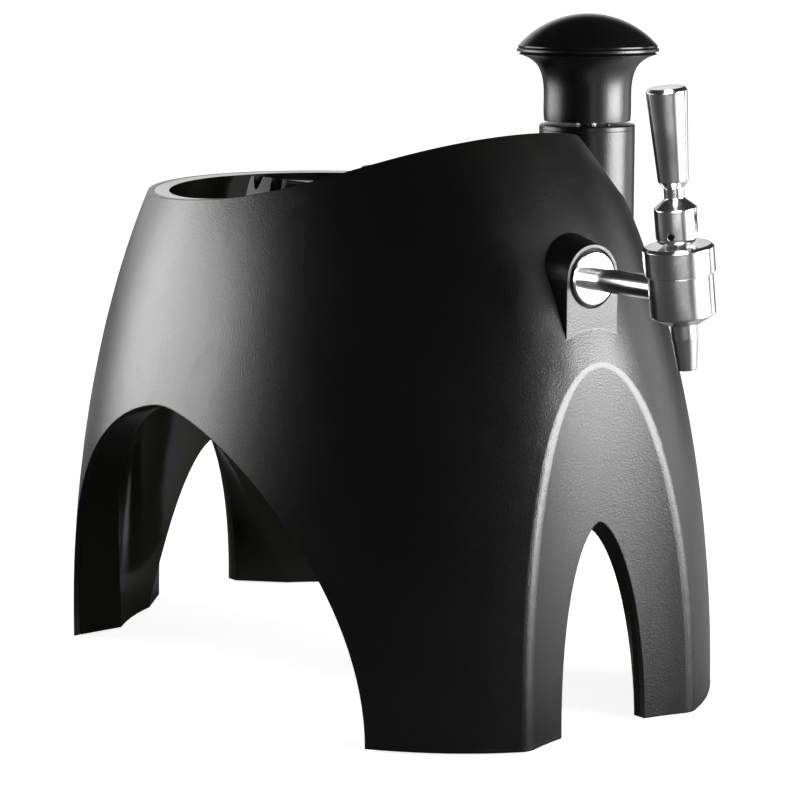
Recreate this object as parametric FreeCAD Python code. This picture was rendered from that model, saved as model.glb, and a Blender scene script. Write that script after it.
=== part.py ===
import FreeCAD, Part
import math
import os

# Mini keg beer dispenser. Millimetres, +Z up. While the pieces are made, the keg's axis is the
# Z axis, the table under the shell is z = 0, and the tap is on the -Y side. save() then moves
# each piece so that the origin is the centre of the part's footprint on the table.

V = FreeCAD.Vector
X_AXIS = V(1, 0, 0)
Y_AXIS = V(0, 1, 0)
Z_AXIS = V(0, 0, 1)
LOW = -20.0            # cutters start this far under the table
SPAN = 400.0           # longer than the part, for cutters that go right through

# Driving dimensions.

half_width = 150.0     # dome: half ellipsoid on the table
half_length = 193.0
dome_height = 358.0    # where the dome would close, had it no opening
shell_wall = 3.0
seam_gap = 0.25        # between the shell and the liner in it

flank_depth = 21.0     # from the dome to the well at the flanks, and at the ends
end_depth = 27.0
well_height = 385.0
liner_wall = 2.5

scoop_radius = 152.0   # upright hollows in the front and in the back
front_bite = 21.0      # how deep each hollow cuts into the dome's end, at the table
rear_bite = 11.0
scoop_lean = 1.2       # degrees that the hollows lean in as they rise
scoop_blend = 9.0

side_arch_half = 129.0
side_arch_height = 147.0
side_arch_y = -2.0
end_arch_half = 26.5
end_arch_height = 100.0
end_arch_inner_half = 47.0
end_arch_inner_height = 85.0
end_arch_depth = 22.0  # from the outer arch to the inner one

rim_rear = 242.5       # the rim's height behind, at the keg's axis and at the front peak
rim_middle = 246.5
rim_peak = 282.0
rim_side = 237.0       # the rim's height beside the pump
rim_flange = 3.0

boss_half = 16.0       # flat pad for the tap
boss_root_half = 23.0
boss_back = 9.0        # from the middle of the front hollow to the pad's face
shank_z = 215.6

pad_radius = 6.5       # foot pads
pad_height = 2.4
pad_proud = 1.0
leg_floor = 3.0
pad_x = 62.0
pad_inset = 33.0       # from the dome's end to the pads, and to the screws, along Y
leg_screw_x = 84.0
screw_inset = 50.0

keg_height = 249.5     # the keg that goes in from below
keg_radius = 81.8
keg_recess_radius = 73.0

pump_x = 64.0
pump_y = -86.0
barrel_radius = 24.0
barrel_wall = 2.5
barrel_bottom = 205.0
barrel_top = 281.0
barrel_clear = 1.2     # between the barrel and the wall it stands in
knob_gap = 1.6
skirt_neck_radius = 22.4
brim_radius = 35.5
skirt_height = 34.0    # from the barrel's top to the brim
knob_rise = 21.0       # from the brim to the top of the knob
rod_radius = 6.0
pump_stroke = 52.0

tap_reach = 60.0       # from the boss's face to the tap's upright axis
tap_roll = 7.0         # degrees that the tap leans about its shank
lever_turn = 30.0      # degrees from straight ahead to the way the lever is pulled
shank_radius = 5.6
shank_bore = 3.5
body_radius = 15.0
bonnet_radius = 16.2
spout_radius = 6.2
spout_tip_radius = 4.4
barrel_lever_radius = 9.7
neck_radius = 4.6
grip_low_radius = 6.9
grip_top_radius = 9.3
stem_radius = 3.0
pin_radius = 1.6
lever_lift = 2.6       # the stem's travel when the lever is pulled all the way

hose_radius = 3.6
hose_bore = 2.4
barb_radius = 2.35
hose_bend = 12.0
hose_z = 253.6         # hoses run just over the keg's rim

running = 0.05         # radial clearance of what slides or turns
snug = 0.02            # radial clearance of what is held still

# Worked out.

well_half_width = half_width - flank_depth
well_half_length = half_length - end_depth
front_depth = half_length - front_bite
rear_depth = half_length - rear_bite
pad_y = half_length - pad_inset
leg_screw_y = half_length - screw_inset
boss_face_y = boss_back - front_depth
brim_z = barrel_top + skirt_height
knob_top = brim_z + knob_rise
tap_y = boss_face_y - tap_reach
shelf_top = barrel_bottom - 6
nut_face_y = -132.0
bridge_foot = keg_height - 9.5
bridge_front = -42.0
bridge_rear = -18.0
bridge_reach = math.sqrt(keg_recess_radius ** 2 - bridge_front ** 2) - 1.0
plate_low = keg_height - 8.5
plate_high = keg_height - 2.0
grip_low = 48.2        # heights on the tap, from the shank's axis
body_low = -10.6
body_high = 8.6
bonnet_high = 21.8
lever_low = 22.6
pin_z = 27.0
front_end = -(abs(tap_y) + bonnet_radius)
rear_end = half_length * math.sqrt(1 - (39.0 / half_width) ** 2)
origin_y = (front_end + rear_end) / 2
pump_at = V(pump_x, pump_y, 0)
barb_x = (-6.5, 6.5)
tail_y = -122.0
base_barb_x = pump_x - 17.5
base_barb_y = pump_y - 12.0
base_barb_z = shelf_top + 3.5
base_barb_sunk = 6.0
piston_low = barrel_bottom + 5.6

# Helpers.


def save(name, *solids):
    """Write one node, moved from the keg's frame to the part's."""
    shape = solids[0] if len(solids) == 1 else Part.makeCompound(list(solids))
    moved = shape.copy()
    moved.translate(V(0, -origin_y, pad_proud))
    moved.exportStep("parts/%s.step" % name)


def cyl(radius, low, high, at=V(0, 0, 0)):
    """An upright cylinder between two heights."""
    return Part.makeCylinder(radius, high - low, V(at.x, at.y, low))


def tube(outer, inner, low, high, at=V(0, 0, 0)):
    return cyl(outer, low, high, at).cut(cyl(inner, low - 1, high + 1, at))


def rod_y(radius, y_from, y_to, x=0.0, z=0.0):
    """A cylinder along Y between two places."""
    low, high = min(y_from, y_to), max(y_from, y_to)
    return Part.makeCylinder(radius, high - low, V(x, low, z), Y_AXIS)


def turned(points, at=V(0, 0, 0)):
    """A solid turned about the upright axis from (radius, height) corners."""
    corners = [V(r, 0, z) for r, z in points]
    face = Part.Face(Part.makePolygon(corners + corners[:1]))
    solid = face.revolve(V(0, 0, 0), Z_AXIS, 360)
    solid.translate(V(at.x, at.y, 0))
    return solid


def block(x0, x1, y0, y1, z0, z1):
    return Part.makeBox(x1 - x0, y1 - y0, z1 - z0, V(x0, y0, z0))


def round_edges(solid, radius, wanted):
    edges = [e for e in solid.Edges if wanted(e)]
    return solid.makeFillet(radius, edges)


def ring_edge(radius, z):
    """Picks a level circle by its radius and height."""
    def wanted(edge):
        curve = edge.Curve
        if not isinstance(curve, Part.Circle):
            return False
        return abs(curve.Radius - radius) < 0.01 and abs(curve.Center.z - z) < 0.01
    return wanted


def ellipsoid(a, b, c):
    stretch = FreeCAD.Matrix()
    stretch.scale(a, b, c)
    return Part.makeSphere(1.0).transformGeometry(stretch)


def hose(points, bend, outer, bore):
    """A bent tube along straight runs joined by arcs."""
    edges = []
    start = points[0]
    for i in range(1, len(points) - 1):
        corner = points[i]
        back = (points[i - 1] - corner).normalize()
        ahead = (points[i + 1] - corner).normalize()
        half = back.getAngle(ahead) / 2
        reach = bend / math.tan(half)
        first = corner + back * reach
        last = corner + ahead * reach
        middle = (back + ahead).normalize()
        centre = corner + middle * (bend / math.sin(half))
        edges.append(Part.makeLine(start, first))
        edges.append(Part.Arc(first, centre - middle * bend, last).toShape())
        start = last
    edges.append(Part.makeLine(start, points[-1]))
    path = Part.Wire(edges)
    along = points[1] - points[0]
    solids = []
    for radius in (outer, bore):
        circle = Part.Wire(Part.makeCircle(radius, points[0], along))
        solids.append(path.makePipeShell([circle], True, True))
    return solids[0].cut(solids[1])


# Dome, arches and rim.


def dome(inset, blend):
    """The dome with its two upright hollows, this far inside the outer surface."""
    solid = ellipsoid(half_width - inset, half_length - inset, dome_height - inset)
    solid = solid.common(block(-SPAN, SPAN, -SPAN, SPAN, LOW, SPAN))
    for side, depth in ((-1, front_depth), (1, rear_depth)):
        hollow = cyl(scoop_radius + inset, -SPAN, SPAN, V(0, side * (depth + scoop_radius), 0))
        hollow.rotate(V(0, side * depth, 0), X_AXIS, side * scoop_lean)
        solid = solid.cut(hollow)
    if blend > 0:
        solid = round_edges(solid, blend, is_crease)
    return solid


def is_crease(edge):
    """The edge where a hollow meets the dome, which spans the arch on each side."""
    box = edge.BoundBox
    return box.ZLength > 40 and box.XLength > 20 and abs(box.Center.y) > 100


def arch_wire(half, height, power, root, grow, place):
    """An arch outline, standing on the table, in the plane that place() puts it in."""
    steps = 11
    side = []
    for i in range(steps):
        t = math.sin(0.5 * math.pi * i / steps)
        width = half * (1 - t ** power) ** root
        side.append((width + grow, t * (height + grow)))
    right = [place(w, z) for w, z in side]
    left = [place(-w, z) for w, z in reversed(side)]
    curve = Part.BSplineCurve()
    curve.interpolate(right + [place(0, height + grow)] + left)
    foot_right = place(half + grow, LOW)
    foot_left = place(-half - grow, LOW)
    return Part.Wire([curve.toShape(), Part.makeLine(left[-1], foot_left),
                      Part.makeLine(foot_left, foot_right), Part.makeLine(foot_right, right[0])])


def side_arch(grow):
    """The tunnel through both flanks."""
    wire = arch_wire(side_arch_half, side_arch_height, 2.0, 0.6, grow,
                     lambda w, z: V(-SPAN / 2, side_arch_y + w, z))
    return Part.Face(wire).extrude(V(SPAN, 0, 0))


def end_arch(side, grow):
    """The arch through the front or the back: straight in the shell, flared in the liner."""
    depth = front_depth if side < 0 else rear_depth
    mouth_y = depth - shell_wall - 2
    inner_y = mouth_y - end_arch_depth

    def outer(y):
        return arch_wire(end_arch_half, end_arch_height, 2.2, 0.6, grow,
                         lambda w, z: V(w, side * y, z))

    def inner(y):
        return arch_wire(end_arch_inner_half, end_arch_inner_height, 1.35, 0.85, grow,
                         lambda w, z: V(w, side * y, z))

    straight = Part.Face(outer(mouth_y)).extrude(V(0, side * 60, 0))
    flare = Part.makeLoft([outer(mouth_y), inner(inner_y)], True, True)
    back = Part.Face(inner(inner_y)).extrude(V(0, -side * 40, 0))
    return straight.fuse([flare, back])


def above_rim(drop):
    """Everything over the rim, lowered by this much."""
    sweep = Part.BSplineCurve()
    sweep.interpolate([V(-SPAN / 2, 230, rim_rear - drop), V(-SPAN / 2, 90, rim_rear + 0.5 - drop),
                       V(-SPAN / 2, 0, rim_middle - drop), V(-SPAN / 2, -40, 252.5 - drop),
                       V(-SPAN / 2, -70, 261.0 - drop), V(-SPAN / 2, -100, 273.0 - drop),
                       V(-SPAN / 2, -122, rim_peak - drop), V(-SPAN / 2, -230, 290.0 - drop)])
    top_front = V(-SPAN / 2, -230, SPAN)
    top_rear = V(-SPAN / 2, 230, SPAN)
    outline = Part.Wire([sweep.toShape(), Part.makeLine(V(-SPAN / 2, -230, 290.0 - drop), top_front),
                         Part.makeLine(top_front, top_rear),
                         Part.makeLine(top_rear, V(-SPAN / 2, 230, rim_rear - drop))])
    wave = Part.Face(outline).extrude(V(SPAN, 0, 0))

    fall = Part.BSplineCurve()
    fall.interpolate([V(-30, -230, 290 - drop), V(18, -230, 281.5 - drop), V(32, -230, 275 - drop),
                      V(44, -230, 261 - drop), V(60, -230, 245.5 - drop),
                      V(80, -230, rim_side - 0.5 - drop), V(110, -230, rim_side - 2.5 - drop),
                      V(200, -230, rim_side - 2.5 - drop)])
    outline = Part.Wire([fall.toShape(),
                         Part.makeLine(V(200, -230, rim_side - 2.5 - drop), V(200, -230, SPAN)),
                         Part.makeLine(V(200, -230, SPAN), V(-30, -230, SPAN)),
                         Part.makeLine(V(-30, -230, SPAN), V(-30, -230, 290 - drop))])
    side = Part.Face(outline).extrude(V(0, SPAN, 0.035 * SPAN))
    return wave.fuse(side)


def tap_boss():
    """The pad's solid, wider where it leaves the dome."""
    def outline(half, y):
        low = shank_z - 75
        arc = Part.Arc(V(half, y, shank_z), V(0, y, shank_z + half), V(-half, y, shank_z))
        return Part.Wire([arc.toShape(), Part.makeLine(V(-half, y, shank_z), V(-half, y, low)),
                          Part.makeLine(V(-half, y, low), V(half, y, low)),
                          Part.makeLine(V(half, y, low), V(half, y, shank_z))])
    return Part.makeLoft([outline(boss_root_half, boss_face_y + 33), outline(boss_half, boss_face_y)],
                         True, True)


def leg_spots(x, y):
    return [V(sx * x, sy * y, 0) for sx in (-1, 1) for sy in (-1, 1)]


pump_pocket = cyl(barrel_radius + barrel_clear, barrel_bottom - 6, SPAN, pump_at)
shank_hole = rod_y(shank_radius + 0.3, boss_face_y - 5, -100, 0, shank_z)


def housing_shell():
    solid = dome(0, scoop_blend).fuse(tap_boss().common(dome(shell_wall + 1, 0).multiFuse(
        [block(-60, 60, -200, -120, 140, 260)])))
    solid = solid.cut(dome(shell_wall, 0))
    solid = solid.cut([side_arch(0), end_arch(-1, 0), end_arch(1, 0), above_rim(0), pump_pocket,
                       block(-SPAN, SPAN, -SPAN, SPAN, LOW - 5, 0)])
    solid = solid.cut(shank_hole)
    solid = solid.cut(rod_y(14.2, boss_face_y - 1, boss_face_y + 2.2, 0, shank_z))
    for spot in leg_spots(leg_screw_x, leg_screw_y):
        post = cyl(4.2, leg_floor + seam_gap, 24, spot)
        outward = V(spot.x, spot.y, 0).normalize()
        rib = Part.makeBox(22, 2.4, 24 - leg_floor - seam_gap, V(0, -1.2, leg_floor + seam_gap))
        rib.rotate(V(0, 0, 0), Z_AXIS, math.degrees(math.atan2(outward.y, outward.x)))
        rib.translate(spot)
        post = post.fuse(rib).common(dome(shell_wall - 0.5, 0))
        solid = solid.fuse(post).cut(cyl(1.5, leg_floor - 1, 18, spot))
    return solid


def keg_liner():
    outside = dome(shell_wall + seam_gap, 0)
    well = ellipsoid(well_half_width, well_half_length, well_height)
    well_out = ellipsoid(well_half_width + liner_wall, well_half_length + liner_wall,
                         well_height + liner_wall)
    tunnels = [side_arch(0), end_arch(-1, 0), end_arch(1, 0)]
    thick_tunnels = [side_arch(liner_wall), end_arch(-1, liner_wall), end_arch(1, liner_wall)]
    core = block(-SPAN, SPAN, -SPAN, SPAN, leg_floor, SPAN).common(dome(shell_wall - 1, 0))
    core = core.cut([well_out] + thick_tunnels + [above_rim(rim_flange)])
    solid = outside.cut([well] + tunnels)
    solid = solid.cut([core, above_rim(0), block(-SPAN, SPAN, -SPAN, SPAN, LOW - 5, 0)])

    shelf = cyl(barrel_radius + 3, shelf_top - 5, shelf_top, pump_at).cut(
        cyl(keg_radius + 1.2, 0, SPAN))
    nut_pad = rod_y(16, nut_face_y, boss_face_y, 0, shank_z)
    ledges = [block(side * 100 - 12, side * 100 + 12, bridge_front - 1, bridge_rear + 1,
                    bridge_foot - 7, bridge_foot) for side in (-1, 1)]
    solid = solid.fuse([piece.common(outside) for piece in [shelf, nut_pad] + ledges])
    cuts = [pump_pocket, rod_y(shank_radius + 0.3, boss_face_y, -100, 0, shank_z)]
    for spot in leg_spots(pad_x, pad_y):
        cuts.append(cyl(pad_radius + 0.2, LOW, pad_height - pad_proud, spot))
    for spot in leg_spots(leg_screw_x, leg_screw_y):
        cuts.append(cyl(3.4, LOW, 1.9, spot))
        cuts.append(cyl(1.7, LOW, leg_floor + 1, spot))
    for spot in base_screw_spots():
        cuts.append(cyl(1.7, shelf_top - 9, shelf_top + 1, spot))
    for spot in bridge_screw_spots():
        cuts.append(cyl(1.5, bridge_foot - 6, bridge_foot + 1, spot))
    return solid.cut(cuts)


# Feet and fixings.


def foot_pads():
    return [cyl(pad_radius, -pad_proud, pad_height - pad_proud, spot)
            for spot in leg_spots(pad_x, pad_y)]


def screw(spot, head_low, length, down):
    """A pan-head screw on the upright axis, driven up or down from its head."""
    head = cyl(3.1, 0, 1.7)
    head = round_edges(head, 0.8, ring_edge(3.1, 0))
    head = head.cut(block(-2.2, 2.2, -0.4, 0.4, -1, 0.8)).cut(block(-0.4, 0.4, -2.2, 2.2, -1, 0.8))
    solid = head.fuse(cyl(1.42, 1.7, 1.7 + length))
    if down:
        solid.rotate(V(0, 0, 0), X_AXIS, 180)
        solid.translate(V(0, 0, 1.7))
    solid.translate(V(spot.x, spot.y, head_low))
    return solid


def leg_screws():
    return [screw(spot, 0.15, 14, False) for spot in leg_spots(leg_screw_x, leg_screw_y)]


def base_screw_spots():
    outward = V(pump_x, pump_y, 0).normalize()
    across = V(-outward.y, outward.x, 0)
    return [pump_at + across * 14 * side for side in (-1, 1)]


def base_screws():
    return [screw(spot, shelf_top - 5 - 1.75, 10, False) for spot in base_screw_spots()]


def bridge_screw_spots():
    middle = (bridge_front + bridge_rear) / 2
    return [V(side * 91.5, middle + step * 6.5, 0) for side in (-1, 1) for step in (-1, 1)]


def bridge_screws():
    return [screw(spot, bridge_foot + 6.05, 10.5, True) for spot in bridge_screw_spots()]


# Bridge over the keg and the keg's coupler.


def carrier_bridge():
    """Spans the well over the keg's rim and dips into the keg's recessed top."""
    reach = bridge_reach
    top = [(101, bridge_foot), (101, 250.5), (94, 259), (73, 255.6), (reach, 254.4),
           (reach - 2, plate_high), (0, plate_high)]
    under = [(0, plate_low), (reach, plate_low), (reach + 3.5, 251.0), (86, 252.0),
             (86.5, bridge_foot)]
    half = [V(x, bridge_front, z) for x, z in top + under]
    solid = None
    for side in (1, -1):
        corners = [V(side * p.x, p.y, p.z) for p in half]
        face = Part.Face(Part.makePolygon(corners + corners[:1]))
        arm = face.extrude(V(0, bridge_rear - bridge_front, 0))
        solid = arm if solid is None else solid.fuse(arm)
    solid = solid.fuse(cyl(26, plate_low, plate_high)).removeSplitter()
    solid = round_edges(solid, 1.5, lambda e: abs(e.BoundBox.YLength) < 0.01 and (
        e.BoundBox.ZMin > 248.5 and e.BoundBox.XLength > 1.5))
    solid = solid.common(ellipsoid(well_half_width - 0.4, well_half_length - 0.4, well_height - 0.4))
    solid = solid.cut(cyl(13.0, 0, SPAN))
    for spot in bridge_screw_spots():
        solid = solid.cut([cyl(1.7, 200, SPAN, spot), cyl(3.6, bridge_foot + 6, SPAN, spot)])
    for side in (-1, 1):
        solid = solid.cut(block(side * 44 - 12, side * 44 + 12, bridge_front + 5, bridge_rear - 5,
                                plate_low - 1, plate_low + 3.5))
    return solid


def coupler_body():
    solid = turned([(6.5, 228), (12.9, 228), (12.9, plate_high + 0.1), (17, plate_high + 0.1),
                    (17, 248.7), (11, 248.8), (11, 256.2), (10, 257.2), (3.55, 257.2), (3.55, 246),
                    (6.5, 246)])
    for x in barb_x:
        solid = solid.cut(rod_y(barb_radius + snug, -8.5, -12, x, hose_z))
        solid = solid.cut(rod_y(1.3, -2, -9, x, hose_z))
    return solid


def coupler_nut():
    hexagon = Part.makePolygon([V(20 * math.cos(math.radians(60 * i)),
                                  20 * math.sin(math.radians(60 * i)), 236.9) for i in range(7)])
    solid = Part.Face(hexagon).extrude(V(0, 0, plate_low - 0.05 - 236.9))
    return solid.common(turned([(0, 230), (18, 236.6), (20, 238), (20, 245), (0, 245)])).cut(
        cyl(12.9 + snug, 200, 300))


def bung_seal():
    return turned([(12.9 + snug, 228.3), (14.5, 228.3), (16.6, 230.5), (15.2, 232.4), (16.8, 234.6),
                   (16.8, 236.7), (12.9 + snug, 236.7)])


def dip_tube():
    solid = tube(3.5, 2.5, 14, 252)
    notch = Part.makeCylinder(4, 20, V(-10, 0, 12), X_AXIS)
    return solid.cut(notch)


def barb_y(x, z, root_y, toward, sunk=2.7):
    """A hose barb along Y, its root end sunk in its fitting up to its collar."""
    solid = rod_y(barb_radius, root_y, root_y + toward * (sunk + 12.3), x, z)
    collar = rod_y(3.4, root_y + toward * sunk, root_y + toward * (sunk + 1.3), x, z)
    return solid.fuse(collar).cut(rod_y(1.4, root_y - 20, root_y + 20, x, z))


def hose_barbs():
    barbs = [barb_y(x, hose_z, -8.6, -1) for x in barb_x]
    tail = barb_y(0, shank_z, tail_y + 1.3, 1)
    base = barb_y(0, 0, 0, 1, base_barb_sunk)
    base.rotate(V(0, 0, 0), Z_AXIS, 90)
    base.translate(V(base_barb_x, base_barb_y, base_barb_z))
    return barbs + [tail, base]


def beer_hose():
    return hose([V(barb_x[0], -12.7, hose_z), V(barb_x[0], -90, hose_z), V(0, -97, shank_z),
                 V(0, tail_y + 5.4, shank_z)], hose_bend, hose_radius, hose_bore)


def air_hose():
    down_x = 16.0
    return hose([V(barb_x[1], -12.7, hose_z), V(barb_x[1], -36, hose_z),
                 V(down_x, base_barb_y, hose_z), V(down_x, base_barb_y, base_barb_z),
                 V(base_barb_x - base_barb_sunk - 1.4, base_barb_y, base_barb_z)],
                hose_bend, hose_radius, hose_bore)


def hose_clips():
    def clip(x, y, z):
        return rod_y(4.5, y, y + 5, x, z).cut(rod_y(hose_radius + snug, y - 1, y + 6, x, z))
    clips = [clip(x, -20.5, hose_z) for x in barb_x] + [clip(0, tail_y + 7.5, shank_z)]
    turned_clip = clip(0, 0, 0)
    turned_clip.rotate(V(0, 0, 0), Z_AXIS, 90)
    turned_clip.translate(V(base_barb_x - base_barb_sunk - 3.0, base_barb_y, base_barb_z))
    return clips + [turned_clip]


# Air pump.


def pump_barrel():
    return tube(barrel_radius, barrel_radius - barrel_wall, barrel_bottom, barrel_top - 2.8, pump_at)


def barrel_gland():
    inner = barrel_radius - barrel_wall - snug
    solid = turned([(rod_radius + running, 270.5), (inner, 270.5), (inner, barrel_top - 2.75),
                    (barrel_radius, barrel_top - 2.75), (barrel_radius, barrel_top - 0.6),
                    (barrel_radius - 0.6, barrel_top), (rod_radius + running, barrel_top)], pump_at)
    keys = [Part.makeCylinder(1.3, 0.9, pump_at + V(17, 0, barrel_top)) for _ in range(2)]
    for angle, key in zip((-95, -125), keys):
        key.rotate(pump_at, Z_AXIS, angle)
        solid = solid.fuse(key)
    return solid


def pump_base():
    spigot = barrel_radius - barrel_wall - snug
    solid = turned([(0, shelf_top + 0.05), (barrel_radius - 0.6, shelf_top + 0.05),
                    (barrel_radius - 0.6, barrel_bottom - 0.05), (spigot, barrel_bottom - 0.05),
                    (spigot, barrel_bottom + 4), (6.2, barrel_bottom + 4), (6.2, barrel_bottom),
                    (0, barrel_bottom)], pump_at)
    for spot in base_screw_spots():
        solid = solid.cut(cyl(1.5, shelf_top - 1, shelf_top + 6.5, spot))
    solid = solid.cut(cyl(1.4, base_barb_z, barrel_bottom + 1, pump_at))
    socket = Part.makeCylinder(barb_radius + snug, 14, V(base_barb_x + 0.1, base_barb_y, base_barb_z),
                               X_AXIS * -1)
    channel = Part.makeCylinder(1.4, 19, V(pump_x + 1, base_barb_y, base_barb_z), X_AXIS * -1)
    link = Part.makeCylinder(1.4, 13, V(pump_x, base_barb_y - 0.5, base_barb_z), Y_AXIS)
    return solid.cut([socket, channel, link])


def check_valve():
    return turned([(0, barrel_bottom + 0.05), (5.9, barrel_bottom + 0.05), (5.9, barrel_bottom + 0.9),
                   (1.6, barrel_bottom + 2.2), (1.6, barrel_bottom + 3.4), (0, barrel_bottom + 3.4)],
                  pump_at)


def knob_skirt():
    low = barrel_top + knob_gap
    flare = Part.BSplineCurve()
    flare.interpolate([V(21.6, 0, low), V(21.9, 0, low + 12), V(22.8, 0, low + 22),
                       V(25.2, 0, low + 27.6), V(29.0, 0, low + 31), V(brim_radius - 0.9, 0, brim_z + 0.8)])
    inside = [V(brim_radius - 0.9, 0, brim_z + 0.8), V(brim_radius - 2.1, 0, brim_z + 1.9),
              V(8.5, 0, brim_z + 1.9),
              V(8.5, 0, brim_z - 2), V(rod_radius + snug, 0, brim_z - 2),
              V(rod_radius + snug, 0, low + 8), V(9.5, 0, low + 8), V(9.5, 0, brim_z - 6),
              V(19.0, 0, brim_z - 6), V(19.0, 0, low), V(21.6, 0, low)]
    lines = [Part.makeLine(a, b) for a, b in zip(inside, inside[1:])]
    face = Part.Face(Part.Wire([flare.toShape()] + lines))
    solid = face.revolve(V(0, 0, 0), Z_AXIS, 360)
    solid.translate(pump_at)
    return solid


def knob_band():
    return turned([(31, brim_z + 1.95), (33.8, brim_z + 1.95), (brim_radius, brim_z + 2.4),
                   (brim_radius, brim_z + 3.6), (35, brim_z + 4.0), (31, brim_z + 4.0)], pump_at)


def knob_cap():
    """A hollow dome, cut from two spheres about one centre."""
    low = brim_z + 4.05
    edge = brim_radius - 0.7
    rise = knob_top - low - 1.2
    ball_radius = (edge ** 2 + rise ** 2) / (2 * rise)
    centre = pump_at + V(0, 0, knob_top - ball_radius)
    dome_part = Part.makeSphere(ball_radius, centre).common(cyl(edge, low + 1.2, SPAN, pump_at))
    solid = dome_part.fuse(turned([(0, low), (edge - 0.3, low), (edge, low + 0.5),
                                   (edge, low + 1.2), (0, low + 1.2)], pump_at))
    inside = Part.makeSphere(ball_radius - 2.4, centre).common(cyl(edge - 4, low - 1, SPAN, pump_at))
    return solid.cut(inside).removeSplitter()


def pump_rod():
    solid = cyl(rod_radius, piston_low + 7, brim_z - 2.1, pump_at)
    return solid.fuse(cyl(3.4, piston_low, piston_low + 7, pump_at))


def piston_head():
    reach = barrel_radius - barrel_wall - 0.35
    return turned([(3.4 + snug, piston_low + 1.8), (reach, piston_low + 1.8),
                   (reach, piston_low + 3.0), (reach - 2, piston_low + 3.0),
                   (reach - 2, piston_low + 5.0), (reach, piston_low + 5.0),
                   (reach, piston_low + 6.9), (3.4 + snug, piston_low + 6.9)], pump_at)


def piston_cup():
    reach = barrel_radius - barrel_wall - running
    low, high = piston_low + 3.05, piston_low + 4.95
    return turned([(19.2, low), (reach, low + 0.3), (reach, high - 0.3), (19.2, high)], pump_at)


def rod_nut():
    ring = tube(6.4, 3.4 + snug, piston_low - 0.9, piston_low + 1.75, pump_at)
    hexagon = Part.makePolygon([pump_at + V(6.2 * math.cos(math.radians(60 * i)),
                                            6.2 * math.sin(math.radians(60 * i)),
                                            piston_low - 1) for i in range(7)])
    return ring.common(Part.Face(hexagon).extrude(V(0, 0, 4)))


# Tap: made upright about its own axis, then leaned about the shank.


def on_tap(solid):
    """Puts a piece that was made about the Z axis, with the shank's axis at 0, on the tap."""
    solid = solid.copy()
    solid.translate(V(0, tap_y, shank_z))
    solid.rotate(V(0, tap_y, shank_z), Y_AXIS, -tap_roll)
    return solid


def on_lever(solid):
    """The same for a piece whose pin was made along X: turned to the way the lever is pulled."""
    solid = solid.copy()
    solid.rotate(V(0, 0, 0), Z_AXIS, lever_turn)
    return on_tap(solid)


def shank():
    inner_end = tap_y + 9.4
    solid = rod_y(shank_radius, inner_end, tail_y, 0, shank_z)
    solid = solid.cut(rod_y(shank_bore, inner_end - 1, tail_y - 3.9, 0, shank_z))
    return solid.cut(rod_y(barb_radius + snug, tail_y - 4.5, tail_y + 1, 0, shank_z))


def shank_flange():
    face = boss_face_y - 1.6
    disc = rod_y(13, face, boss_face_y + 1.1, 0, shank_z)
    rim = [e for e in disc.Edges if isinstance(e.Curve, Part.Circle)
           and abs(e.Curve.Center.y - face) < 0.01]
    disc = disc.makeFillet(1.2, rim)
    return disc.cut(rod_y(shank_radius + snug, -SPAN, 0, 0, shank_z))


def flange_gasket():
    disc = rod_y(13.9, boss_face_y + 1.15, boss_face_y + 2.15, 0, shank_z)
    return disc.cut(rod_y(shank_radius + snug, -SPAN, 0, 0, shank_z))


def back_nut():
    corners = [V(11.2 * math.cos(math.radians(60 * i)), nut_face_y + 0.05,
                 shank_z + 11.2 * math.sin(math.radians(60 * i))) for i in range(7)]
    solid = Part.Face(Part.makePolygon(corners)).extrude(V(0, 7, 0))
    washer = rod_y(12.5, nut_face_y + 0.05, nut_face_y + 1.3, 0, shank_z)
    return solid.fuse(washer).cut(rod_y(shank_radius + snug, -SPAN, 0, 0, shank_z))


def tap_body():
    solid = turned([(0, body_low - 3.8), (8, body_low - 3.8), (body_radius - 0.4, body_low),
                    (body_radius, body_low + 0.6), (body_radius, body_high), (12.5, body_high),
                    (12.5, body_high + 4.2), (9, body_high + 4.2), (9, -6), (0, -6)])
    solid = solid.cut([cyl(3, -20, 0), cyl(4.02, -20, -9)])
    return solid.cut(rod_y(shank_radius + snug, 0, 30))


def tap_bonnet():
    top = bonnet_high
    solid = turned([(12.52, body_high + 0.1), (bonnet_radius - 0.3, body_high + 0.1),
                    (bonnet_radius, body_high + 0.5), (bonnet_radius, top - 1.3),
                    (bonnet_radius - 1.3, top), (0, top), (0, top - 4.3), (9, top - 4.3),
                    (9, body_high + 5.3), (12.52, body_high + 5.3)])
    return solid.cut([cyl(stem_radius + running, 10, 40), cyl(4.6, 18.7, 20.5)])


def bonnet_seal():
    return tube(12.4, 9.3, body_high + 4.25, body_high + 5.25)


def stem_seal():
    return tube(4.55, stem_radius + running, 18.8, 20.4)


def spout():
    low = -36.0
    solid = turned([(0, low), (spout_tip_radius, low), (spout_tip_radius + 0.1, low + 0.5),
                    (spout_radius, -21), (spout_radius, body_low - 3.85), (4, body_low - 3.85),
                    (4, -9.05), (0, -9.05)])
    bore = turned([(0, low - 1), (3.2, low - 1), (3.2, -20), (2.6, -17), (2.6, 0), (0, 0)])
    return solid.cut(bore)


def valve_stem():
    solid = cyl(stem_radius, -2.9, bonnet_high - 0.8).fuse(
        [cyl(2.6, -2.9, bonnet_high + 0.4), cyl(8, -2.9, -0.6)])
    tongue = block(-2.6, 2.6, -5, 5, bonnet_high + 0.2, pin_z)
    head = Part.makeCylinder(5, 5.2, V(-2.6, 0, pin_z), X_AXIS)
    solid = solid.fuse([tongue, head])
    return solid.cut(Part.makeCylinder(pin_radius + running, 20, V(-10, 0, pin_z), X_AXIS))


def seat_seal():
    return turned([(0, -5.95), (4.5, -5.95), (7.4, -4.6), (7.4, -2.95), (0, -2.95)])


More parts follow.
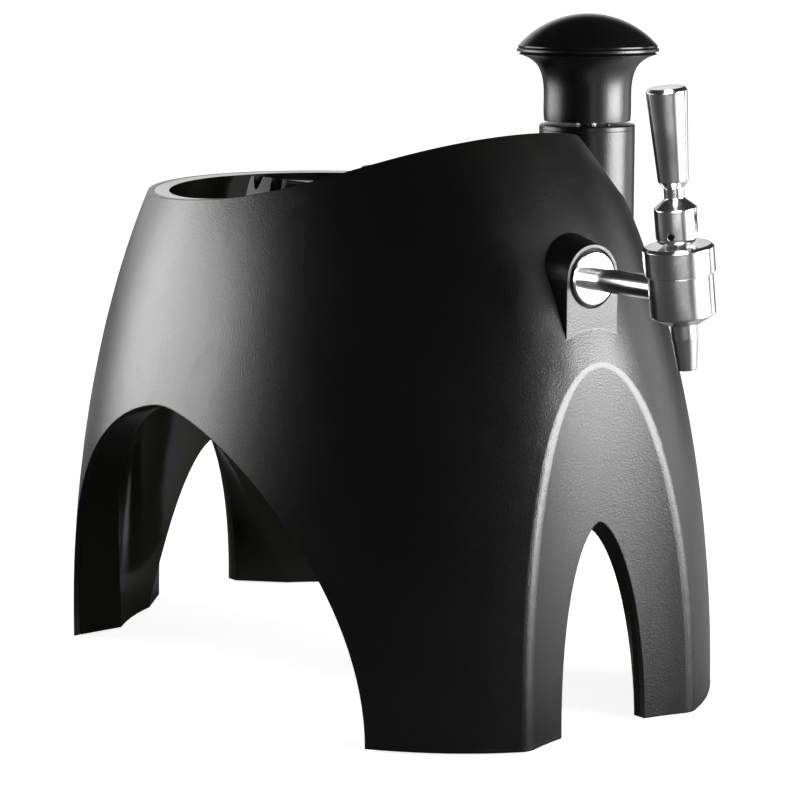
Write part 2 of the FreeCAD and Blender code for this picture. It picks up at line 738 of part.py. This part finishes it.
def valve_spring():
    turns = 6
    length = (bonnet_high - 4.3) - (-0.6) - 1.5
    helix = Part.makeHelix(length / turns, length, 5.4)
    circle = Part.Wire(Part.makeCircle(0.65, V(5.4, 0, 0), Y_AXIS))
    coil = Part.Wire(helix).makePipeShell([circle], True, True)
    coil.translate(V(0, 0, -0.6 + 0.75))
    return coil


def lever_barrel():
    solid = turned([(0, lever_low), (barrel_lever_radius, lever_low),
                    (barrel_lever_radius, 38.8), (neck_radius + 0.5, 42.6),
                    (neck_radius, 43.4), (neck_radius, grip_low - 0.05), (3, grip_low - 0.05),
                    (3, grip_low + 12), (0, grip_low + 12)])
    solid = round_edges(solid, 3.0, ring_edge(barrel_lever_radius, lever_low))
    solid = round_edges(solid, 0.8, ring_edge(barrel_lever_radius, 38.8))
    slot_half = 2.8
    slot = block(-slot_half, slot_half, -20, 20, 10, 34.5)
    slot = slot.fuse(Part.makeCylinder(slot_half, 40, V(0, -20, 34.5), Y_AXIS))
    solid = solid.cut(slot)
    return solid.cut(Part.makeCylinder(pin_radius + snug, 40, V(-20, 0, pin_z), X_AXIS))


def lever_grip():
    solid = turned([(3.02, grip_low), (neck_radius + 0.3, grip_low), (grip_low_radius, 51.1),
                    (grip_top_radius, 91.6), (grip_top_radius - 1.2, 93.2), (0, 93.2),
                    (0, grip_low + 12.5), (3.02, grip_low + 12.5)])
    return round_edges(solid, 0.6, ring_edge(grip_low_radius, 51.1))


def pivot_pin():
    pin = Part.makeCylinder(pin_radius, 19.0, V(-9.5, 0, pin_z), X_AXIS)
    return pin.makeChamfer(0.3, [e for e in pin.Edges if isinstance(e.Curve, Part.Circle)])


# Write the nodes.

os.makedirs("parts", exist_ok=True)

for piece in (housing_shell, keg_liner, carrier_bridge, coupler_body, coupler_nut, bung_seal,
              dip_tube, beer_hose, air_hose, pump_barrel, barrel_gland, pump_base, check_valve,
              knob_skirt, knob_band, knob_cap, pump_rod, piston_head, piston_cup, rod_nut,
              shank, shank_flange, flange_gasket, back_nut):
    save(piece.__name__, piece())

for pieces in (foot_pads, leg_screws, base_screws, bridge_screws, hose_barbs, hose_clips):
    save(pieces.__name__, *pieces())

for piece in (tap_body, tap_bonnet, bonnet_seal, stem_seal, spout, seat_seal, valve_spring):
    save(piece.__name__, on_tap(piece()))

for piece in (valve_stem, lever_barrel, lever_grip, pivot_pin):
    save(piece.__name__, on_lever(piece()))
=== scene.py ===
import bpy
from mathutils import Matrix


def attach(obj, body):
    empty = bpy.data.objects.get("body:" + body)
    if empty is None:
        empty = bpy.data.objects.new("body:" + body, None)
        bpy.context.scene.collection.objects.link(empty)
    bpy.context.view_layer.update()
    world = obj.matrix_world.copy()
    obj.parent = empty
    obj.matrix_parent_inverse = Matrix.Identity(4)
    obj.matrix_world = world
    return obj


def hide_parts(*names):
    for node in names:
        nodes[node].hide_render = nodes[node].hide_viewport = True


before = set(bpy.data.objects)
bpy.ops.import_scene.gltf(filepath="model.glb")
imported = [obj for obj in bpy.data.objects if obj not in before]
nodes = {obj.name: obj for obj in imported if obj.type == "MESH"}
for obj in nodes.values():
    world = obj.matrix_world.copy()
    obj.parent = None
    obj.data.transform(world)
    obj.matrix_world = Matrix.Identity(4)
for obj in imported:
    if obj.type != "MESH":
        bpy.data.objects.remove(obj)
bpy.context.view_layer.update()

import bmesh
import bpy
from mathutils import Vector

MM = 0.001
scene = bpy.context.scene

# The picture is 800 pixels wide. Its lens is a length in those pixels.
PICTURE_WIDTH = 800
LENS_IN_PIXELS = 2663.3
SENSOR_WIDTH = 36
LENS_SHIFT_DOWN = 0.06

# The hoses' routes are written from the middle of the keg's foot, in mm.
KEG_MIDDLE_Y = 26.42
KEG_FOOT_Z = 1.0
HOSE_RADIUS = 3.6
BEER_ROUTE = [
    (-6.5, -12.7, 253.6), (-6.5, -52, 253.6), (-6.5, -90, 253.6),
    (-3.5, -93.5, 235), (0, -97, 215.6), (0, -116.6, 215.6),
]
AIR_ROUTE = [
    (6.5, -12.7, 253.6), (6.5, -36, 253.6), (16, -98, 253.6),
    (16, -98, 228), (16, -98, 202.5), (39.1, -98, 202.5),
]

# The seam where each leg of the shell meets its rubber foot.
SEAM_HEIGHT = 2.6
SEAM_RADIUS = 0.16


# The wires of a material. Arithmetic on a wire adds Math nodes.


class Wire:
    def __init__(self, shade, socket):
        self.shade = shade
        self.socket = socket

    def math(self, operation, *values):
        sockets = dict(enumerate(values))
        return self.shade.node("ShaderNodeMath", {"operation": operation}, sockets)

    def __add__(self, other):
        return self.math("ADD", self, other)

    def __rsub__(self, other):
        return self.math("SUBTRACT", other, self)

    def __mul__(self, other):
        return self.math("MULTIPLY", self, other)

    def fade(self, low, high):
        """0 under low, 1 over high, smooth between."""
        settings = {"interpolation_type": "SMOOTHSTEP"}
        return self.shade.node("ShaderNodeMapRange", settings, {0: self, 1: low, 2: high})

    __radd__ = __add__
    __rmul__ = __mul__


class Shade:
    """A material's or the world's node tree."""

    def __init__(self, tree):
        self.tree = tree
        tree.nodes.clear()

    def node(self, kind, settings=None, sockets=None, output=0):
        made = self.tree.nodes.new(kind)
        for name, value in (settings or {}).items():
            setattr(made, name, value)
        for name, value in (sockets or {}).items():
            if isinstance(value, Wire):
                self.tree.links.new(value.socket, made.inputs[name])
            else:
                made.inputs[name].default_value = value
        return Wire(self, made.outputs[output] if made.outputs else None)

    def place(self):
        """The point on the piece, in metres, which moves with the piece."""
        return self.node("ShaderNodeTexCoord", output="Object")

    def parts(self, vector):
        return [self.node("ShaderNodeSeparateXYZ", None, {0: vector}, axis) for axis in range(3)]

    def noise(self, vector, per_metre, detail=2.0, rough=0.5):
        return self.node("ShaderNodeTexNoise", None, {
            "Vector": vector, "Scale": per_metre, "Detail": detail, "Roughness": rough})

    def blend(self, mask, first, second):
        settings = {"data_type": "RGBA"}
        return self.node("ShaderNodeMix", settings, {0: mask, 6: first, 7: second}, 2)

    def bump(self, height, depth, strength, normal=None):
        sockets = {"Strength": strength, "Distance": depth, "Height": height}
        if normal is not None:
            sockets["Normal"] = normal
        return self.node("ShaderNodeBump", None, sockets)

    def soft_edges(self, radius):
        return self.node("ShaderNodeBevel", {"samples": 6}, {"Radius": radius})

    def surface(self, **sockets):
        named = {name.replace("_", " "): value for name, value in sockets.items()}
        shader = self.node("ShaderNodeBsdfPrincipled", None, named)
        self.node("ShaderNodeOutputMaterial", None, {"Surface": shader})


def grey(level, warm=0.0):
    """A near-neutral colour; warm above 0 leans to olive."""
    return (level * (1 + warm), level * (1 + warm * 0.9), level * (1 - warm), 1)


def material(name):
    made = bpy.data.materials.new(name)
    made.use_nodes = True
    return made, Shade(made.node_tree)


# The finishes.


def moulded_plastic(name, level, warm, roughness, grain, grain_depth, edge, specular=0.5, waves=0.0):
    """Black plastic with the fine grain of its mould, softened edges and faint handling marks."""
    made, shade = material(name)
    place = shade.place()
    cells = shade.noise(place, 1 / grain, 2.0, 0.6)
    cloud = shade.noise(place, 18.0, 3.0)
    marks = shade.noise(place, 90.0, 4.0, 0.7)
    normal = shade.soft_edges(edge)
    if waves:
        normal = shade.bump(shade.noise(place, 26.0, 1.0), waves, 1.0, normal)
    normal = shade.bump(cells, grain_depth, 1.0, normal)
    rough = cloud * 0.06 + marks.fade(0.52, 0.75) * 0.05 + (roughness - 0.05) + cells * 0.04
    tone = shade.blend(cloud.fade(0.3, 0.7), grey(level * 0.85, warm), grey(level * 1.15, warm))
    shade.surface(Base_Color=tone, Roughness=rough, Specular_IOR_Level=specular, Normal=normal)
    return made


def turned_metal(name, level, roughness, axis, rings_per_metre, depth):
    """Metal turned on a lathe: fine rings about its axis, and soft smears of polish."""
    made, shade = material(name)
    place = shade.place()
    along = shade.node("ShaderNodeVectorMath", {"operation": "DOT_PRODUCT"},
                       {0: place, 1: axis}, "Value")
    rings = shade.node("ShaderNodeTexNoise", {"noise_dimensions": "1D"},
                       {"W": along, "Scale": rings_per_metre, "Detail": 3.0})
    smear = shade.noise(place, 70.0, 3.0)
    normal = shade.bump(rings, depth, 1.0, shade.soft_edges(0.35 * MM))
    rough = rings * 0.05 + smear.fade(0.4, 0.7) * 0.04 + roughness
    tone = shade.blend(smear, grey(level * 0.97), grey(level))
    shade.surface(Base_Color=tone, Metallic=1.0, Roughness=rough, Normal=normal)
    return made


def plain_rubber(name, level, roughness):
    """Matt rubber with fine pores and a little dust."""
    made, shade = material(name)
    place = shade.place()
    pores = shade.noise(place, 1500.0, 2.0)
    dust = shade.noise(place, 60.0, 4.0)
    tone = shade.blend(dust.fade(0.45, 0.75), grey(level), grey(level * 1.6))
    normal = shade.bump(pores, 0.05 * MM, 0.6, shade.soft_edges(0.3 * MM))
    shade.surface(Base_Color=tone, Roughness=dust * 0.1 + roughness, Normal=normal)
    return made


def milky_hose(name):
    """Soft pale hose with faint streaks and a light gloss."""
    made, shade = material(name)
    place = shade.place()
    streak = shade.noise(place, 220.0, 3.0)
    tone = shade.blend(streak, (0.62, 0.64, 0.6, 1), (0.74, 0.75, 0.71, 1))
    normal = shade.bump(streak, 0.1 * MM, 0.4)
    shade.surface(Base_Color=tone, Roughness=streak * 0.1 + 0.2, Coat_Weight=0.3, Normal=normal)
    return made


tap_axis = (-0.12187, 0.0, 0.99255)
shank_axis = (0, 1, 0)
upright = (0, 0, 1)
polish = 0.004 * MM
lathe_mark = 0.01 * MM

shell_black = moulded_plastic("shell_black", 0.005, 0.05, 0.29, 0.8 * MM, 0.11 * MM, 0.8 * MM, 0.85)
liner_black = moulded_plastic("liner_black", 0.006, 0.12, 0.12, 1.5 * MM, 0.006 * MM, 0.6 * MM,
                              0.6, 0.6 * MM)
pump_black = moulded_plastic("pump_black", 0.006, 0.03, 0.28, 0.8 * MM, 0.1 * MM, 0.4 * MM, 0.8)
knob_black = moulded_plastic("knob_black", 0.006, 0.03, 0.20, 1.2 * MM, 0.008 * MM, 0.4 * MM, 0.6)
fitting_black = moulded_plastic("fitting_black", 0.02, 0.0, 0.38, 0.5 * MM, 0.03 * MM, 0.3 * MM)
rubber_black = plain_rubber("rubber_black", 0.012, 0.55)
chrome = turned_metal("chrome", 0.86, 0.13, tap_axis, 4200.0, polish)
shank_chrome = turned_metal("shank_chrome", 0.86, 0.15, shank_axis, 4200.0, polish)
rod_steel = turned_metal("rod_steel", 0.62, 0.2, upright, 2600.0, lathe_mark)
screw_steel = turned_metal("screw_steel", 0.5, 0.28, upright, 1800.0, lathe_mark)
# The pivot pin's steel is painted near black: painted shade of the hole the pin sits in, not the
# steel's own colour.
pin_steel_painted_shade = turned_metal("pin_steel_painted_shade", 0.06, 0.4, upright, 1800.0, lathe_mark)
hose_milky = milky_hose("hose_milky")

finishes = {
    shell_black: ["housing_shell"],
    liner_black: ["keg_liner"],
    fitting_black: ["carrier_bridge", "coupler_body", "coupler_nut", "pump_base", "piston_head",
                    "hose_barbs"],
    pump_black: ["pump_barrel", "barrel_gland", "knob_skirt", "knob_band"],
    knob_black: ["knob_cap"],
    rubber_black: ["foot_pads", "bung_seal", "check_valve", "piston_cup", "flange_gasket",
                   "bonnet_seal", "stem_seal", "seat_seal"],
    chrome: ["tap_body", "tap_bonnet", "spout", "valve_stem", "lever_barrel", "lever_grip"],
    pin_steel_painted_shade: ["pivot_pin"],
    shank_chrome: ["shank", "shank_flange", "back_nut"],
    rod_steel: ["pump_rod", "rod_nut", "valve_spring", "dip_tube"],
    screw_steel: ["leg_screws", "base_screws", "bridge_screws", "hose_clips"],
    hose_milky: ["beer_hose", "air_hose"],
}

for finish, names in finishes.items():
    for name in names:
        mesh = nodes[name].data
        mesh.materials.clear()
        mesh.materials.append(finish)


# Pieces of the scene's own: the soft hoses, and the seams above the feet.


def soft_hose(name, route, node):
    """A smooth tube along the route of the hose's solid."""
    curve = bpy.data.curves.new(name, "CURVE")
    curve.dimensions = "3D"
    line = curve.splines.new("NURBS")
    line.points.add(len(route) - 1)
    for point, (x, y, z) in zip(line.points, route):
        point.co = (x * MM, (y + KEG_MIDDLE_Y) * MM, (z + KEG_FOOT_Z) * MM, 1)
    line.order_u = 3
    line.use_endpoint_u = True
    line.resolution_u = 24
    curve.bevel_depth = HOSE_RADIUS * MM
    curve.bevel_resolution = 6
    curve.use_fill_caps = True
    curve.materials.append(hose_milky)
    made = bpy.data.objects.new(name, curve)
    scene.collection.objects.link(made)
    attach(made, "housing")
    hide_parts(node)


def level_edges(mesh, height):
    """The lines in which a level plane meets a mesh, as a mesh of edges."""
    cut = bmesh.new()
    cut.from_mesh(mesh)
    everything = cut.verts[:] + cut.edges[:] + cut.faces[:]
    found = bmesh.ops.bisect_plane(cut, geom=everything, plane_co=(0, 0, height * MM),
                                   plane_no=(0, 0, 1))["geom_cut"]
    kept = {item for item in found if isinstance(item, bmesh.types.BMEdge)}
    others = [edge for edge in cut.edges if edge not in kept]
    bmesh.ops.delete(cut, geom=others, context="EDGES")
    bmesh.ops.remove_doubles(cut, verts=cut.verts[:], dist=0.01 * MM)
    edges = bpy.data.meshes.new("level_edges")
    cut.to_mesh(edges)
    cut.free()
    return edges


def fine_line(name, node, height, radius, finish):
    """A hair line round a piece at one height, such as the edge of a mould."""
    made = bpy.data.objects.new(name, level_edges(nodes[node].data, height))
    scene.collection.objects.link(made)
    for other in bpy.context.selected_objects:
        other.select_set(False)
    bpy.context.view_layer.objects.active = made
    made.select_set(True)
    bpy.ops.object.convert(target="CURVE")
    made = bpy.context.view_layer.objects.active
    made.data.bevel_depth = radius * MM
    made.data.bevel_resolution = 1
    made.data.materials.clear()
    made.data.materials.append(finish)
    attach(made, "housing")


soft_hose("beer_line", BEER_ROUTE, "beer_hose")
soft_hose("air_line", AIR_ROUTE, "air_hose")
fine_line("foot_seam", "housing_shell", SEAM_HEIGHT, SEAM_RADIUS, rubber_black)


# Floor, light and camera.


def studio_floor(reach=60, near_glow=0.84, far_glow=0.16):
    """White to the eye, and dim on the camera's side where the object mirrors it."""
    made, shade = material("floor_white")
    seen = shade.node("ShaderNodeLightPath", output="Is Camera Ray")
    mirrored = shade.node("ShaderNodeLightPath", output="Is Glossy Ray")
    x, y, z = shade.parts(shade.place())
    far = (x * x + y * y).fade(0.3, 4.0)
    white = shade.node("ShaderNodeBsdfDiffuse", None, {"Color": grey(0.82)})
    dim = shade.node("ShaderNodeBsdfDiffuse", None, {"Color": grey(0.1)})
    dimmed = mirrored * (1 - x.fade(-0.05, 0.2)) * 0.95
    paint = shade.node("ShaderNodeMixShader", None, {0: dimmed, 1: white, 2: dim})
    level = seen * (far * far_glow + near_glow)
    glow = shade.node("ShaderNodeEmission", None, {"Color": grey(1), "Strength": level})
    both = shade.node("ShaderNodeAddShader", None, {0: paint, 1: glow})
    shade.node("ShaderNodeOutputMaterial", None, {"Surface": both})
    mesh = bpy.data.meshes.new("floor")
    corners = [(-reach, -reach, 0), (reach, -reach, 0), (reach, reach, 0), (-reach, reach, 0)]
    mesh.from_pydata(corners, [], [(0, 1, 2, 3)])
    mesh.materials.append(made)
    floor = bpy.data.objects.new("floor", mesh)
    scene.collection.objects.link(floor)


def studio_sky(room=0.03, fill=0.12):
    """White to the eye; around the object a dim room with a bright band behind it."""
    world = bpy.data.worlds.new("studio")
    scene.world = world
    world.use_nodes = True
    shade = Shade(world.node_tree)
    x, y, z = shade.parts(shade.node("ShaderNodeTexCoord", output="Generated"))
    behind = (y * 0.98 + x * -0.1).fade(0.3, 0.75)
    low = 1 - z.fade(0.2, 0.55)
    mirror = behind * low + room
    seen = shade.node("ShaderNodeLightPath", output="Is Camera Ray")
    glossy = shade.node("ShaderNodeLightPath", output="Is Glossy Ray")
    level = seen + (1 - seen) * (glossy * mirror + (1 - glossy) * fill)
    glow = shade.node("ShaderNodeBackground", None, {"Color": grey(1), "Strength": level})
    shade.node("ShaderNodeOutputWorld", None, {"Surface": glow})


def lamp(name, place, aim, width, height, watts, only=None):
    """A soft rectangle of light; with only, it lights just that collection."""
    light = bpy.data.lights.new(name, "AREA")
    light.shape = "RECTANGLE"
    light.size = width
    light.size_y = height
    light.energy = watts
    made = bpy.data.objects.new(name, light)
    made.location = place
    made.rotation_euler = (Vector(aim) - Vector(place)).to_track_quat("-Z", "Y").to_euler()
    made.visible_camera = False
    if only:
        made.light_linking.receiver_collection = only
    scene.collection.objects.link(made)


def camera(place, ahead):
    lens = bpy.data.cameras.new("camera")
    lens.sensor_width = SENSOR_WIDTH
    lens.lens = LENS_IN_PIXELS * SENSOR_WIDTH / PICTURE_WIDTH
    lens.shift_y = -LENS_SHIFT_DOWN
    lens.clip_end = 200
    made = bpy.data.objects.new("camera", lens)
    made.location = place
    made.rotation_euler = Vector(ahead).to_track_quat("-Z", "Y").to_euler()
    scene.collection.objects.link(made)
    scene.camera = made


metal = bpy.data.collections.new("polished_metal")
for name in finishes[chrome] + finishes[shank_chrome]:
    metal.objects.link(nodes[name])

shell_middle = (0, -0.1, 0.12)
body_middle = (0, -0.05, 0.15)
rear_middle = (0, 0.05, 0.15)
tap_middle = (0, -0.19, 0.22)

studio_floor()
studio_sky()
lamp("front_softbox", (0.88, -1.23, 0.32), shell_middle, 1.1, 0.7, 34)
lamp("right_softbox", (1.5, -0.2, 0.3), body_middle, 0.6, 0.6, 1.5)
lamp("left_softbox", (-0.85, 1.15, 0.3), rear_middle, 1.3, 0.8, 13)
lamp("metal_fill", (-1.05, -1.5, 0.35), tap_middle, 1.4, 1.2, 60, metal)
lamp("metal_top", (-0.3, -0.6, 1.1), tap_middle, 0.5, 0.5, 4, metal)

# The photograph's view: 37.7 degrees to the left of the tap, looking 9 degrees downward.
camera((-0.8287, -1.0618, 0.3767), (0.6038, 0.7818, -0.1555))
scene.view_settings.view_transform = "Standard"
